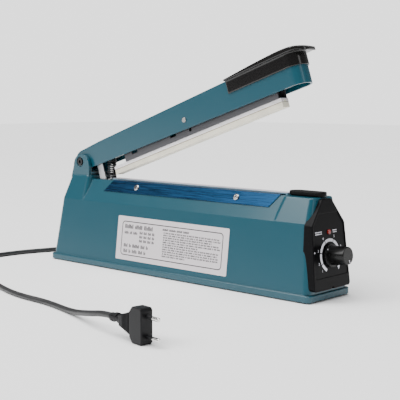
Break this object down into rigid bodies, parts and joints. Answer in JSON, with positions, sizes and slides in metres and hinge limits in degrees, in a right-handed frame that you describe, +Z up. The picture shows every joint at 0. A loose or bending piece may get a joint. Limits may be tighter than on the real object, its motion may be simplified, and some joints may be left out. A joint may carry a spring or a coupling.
{
  "type": "impulse heat sealer",
  "caption": "Benchtop impulse sealer: long tapered base with heated bed, spring-opened press arm, timer dial and mains cord with plug.",
  "frame": {"origin": "on the bench, under the middle of the machine's box (its cord and plug left out)", "axes": "+X from the hinge end to the control panel, +Y to the cord's side, away from the rating label, +Z up"},
  "size_m": [0.5423, 0.4539, 0.2858],
  "materials": {
    "teal_plastic": "moulded ABS, semi-gloss",
    "plate_steel": "zinc-plated sheet",
    "black_rubber": "moulded rubber, satin",
    "bright_steel": "nickel-plated steel",
    "insulator_board": "phenolic board",
    "ribbon_alloy": "nickel-chromium ribbon",
    "nonstick_cloth": "PTFE-coated glass cloth",
    "brass": "machined brass",
    "blue_anodised": "brushed, blue anodised",
    "black_panel": "moulded ABS, semi-gloss",
    "red_lens": "clear red acrylic",
    "circuit_board": "solder-masked board",
    "core_steel": "varnished laminations",
    "coil_tape": "taped winding",
    "switch_plastic": "moulded phenolic",
    "switch_button": "moulded acetal",
    "label_film": "printed film",
    "nylon": "moulded nylon",
    "spring_steel": "oil-blackened spring wire",
    "black_plastic": "moulded PVC",
    "cord_jacket": "PVC jacket, satin",
    "plug_plastic": "moulded PVC",
    "pin_nickel": "nickel-plated brass",
    "black_gloss": "moulded ABS, gloss",
    "bar_steel": "zinc-plated channel",
    "strip_aluminium": "extruded, clear anodised",
    "silicone": "silicone rubber, matt",
    "knob_plastic": "moulded ABS, semi-gloss"
  },
  "bodies": {
    "base": {"base_casing": "teal_plastic", "bottom_plate": "plate_steel", "rubber_feet": "black_rubber", "bottom_screws": "bright_steel", "insulator_bar": "insulator_board", "heating_ribbon": "ribbon_alloy", "nonstick_cloth": "nonstick_cloth", "ribbon_terminals": "brass", "near_cover_strip": "blue_anodised", "far_cover_strip": "blue_anodised", "cover_screws": "bright_steel", "landing_pad": "black_rubber", "front_panel": "black_panel", "indicator_lens": "red_lens", "timer_pot": "plate_steel", "pot_nut": "bright_steel", "timer_board": "circuit_board", "transformer_core": "core_steel", "transformer_coil": "coil_tape", "micro_switch": "switch_plastic", "switch_bracket": "plate_steel", "rating_label": "label_film", "hinge_bolt": "bright_steel", "hinge_nut": "bright_steel", "hinge_washers": "nylon", "spring_seat": "plate_steel", "return_spring": "spring_steel", "cord_bushing": "black_plastic", "strain_relief": "black_plastic", "cord_lead": "cord_jacket", "cord_coil": "cord_jacket", "mains_cord": "cord_jacket", "plug_body": "plug_plastic", "plug_sleeves": "plug_plastic", "plug_pins": "pin_nickel"},
    "arm": {"arm_cover": "teal_plastic", "grip_cap": "black_gloss", "pivot_sleeve": "nylon", "bar_pin": "bright_steel", "switch_tongue": "plate_steel", "tongue_spacers": "bright_steel"},
    "bar": {"press_bar": "bar_steel", "strip_holder": "strip_aluminium", "silicone_strip": "silicone"},
    "plunger": {"switch_plunger": "switch_button"},
    "knob": {"timer_knob": "knob_plastic", "timer_shaft": "brass"}
  },
  "joints": [
    {"name": "arm_hinge", "type": "hinge", "parent": "base", "child": "arm", "pos_m": [-0.19635, 0, 0.1384], "axis": [0, 1, 0], "range_deg": [0, 18.15], "stiffness_Nm_per_rad": 4, "springref_deg": -25.78, "deforming": ["return_spring"]},
    {"name": "press_bar_float", "type": "slide", "parent": "arm", "child": "bar", "axis": [-0.3115, 0, 0.9502], "range_m": [0, 0.013]},
    {"name": "switch_plunger", "type": "slide", "parent": "base", "child": "plunger", "axis": [0, 0, -1], "range_m": [0, 0.0012]},
    {"name": "knob_turn", "type": "hinge", "parent": "base", "child": "knob", "pos_m": [0.213, 0, 0.0505], "axis": [0.995, 0, 0.0995], "range_deg": [-140, 140]}
  ],
  "couplings": [
    {"joint": "press_bar_float", "follows": "arm_hinge", "m_per_rad": 0.04103},
    {"joint": "switch_plunger", "follows": "arm_hinge", "m_per_rad": 0.003787}
  ]
}
